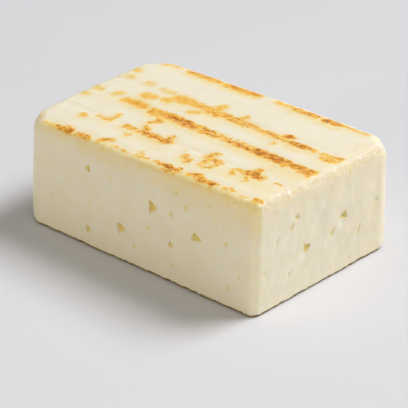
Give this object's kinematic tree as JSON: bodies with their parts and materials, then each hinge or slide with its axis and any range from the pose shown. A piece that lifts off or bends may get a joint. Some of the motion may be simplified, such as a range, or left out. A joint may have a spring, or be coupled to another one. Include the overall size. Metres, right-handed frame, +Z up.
{
  "type": "halloumi block",
  "caption": "Rounded oblong block of halloumi, a firm pressed curd cheese with small eyes in its sides and shallow grill-bar beds across its seared top.",
  "frame": {"origin": "on the surface the block stands on, under the middle of its bounding box", "axes": "+X along the length, the way the grill bars ran; +Y across the width; +Z up out of the seared top"},
  "size_m": [0.1052, 0.0698, 0.0388],
  "materials": {
    "curd": "moist satin ivory curd, golden to brown where the grill bars seared the top"
  },
  "bodies": {
    "root": {"halloumi_block": "curd"}
  },
  "joints": []
}
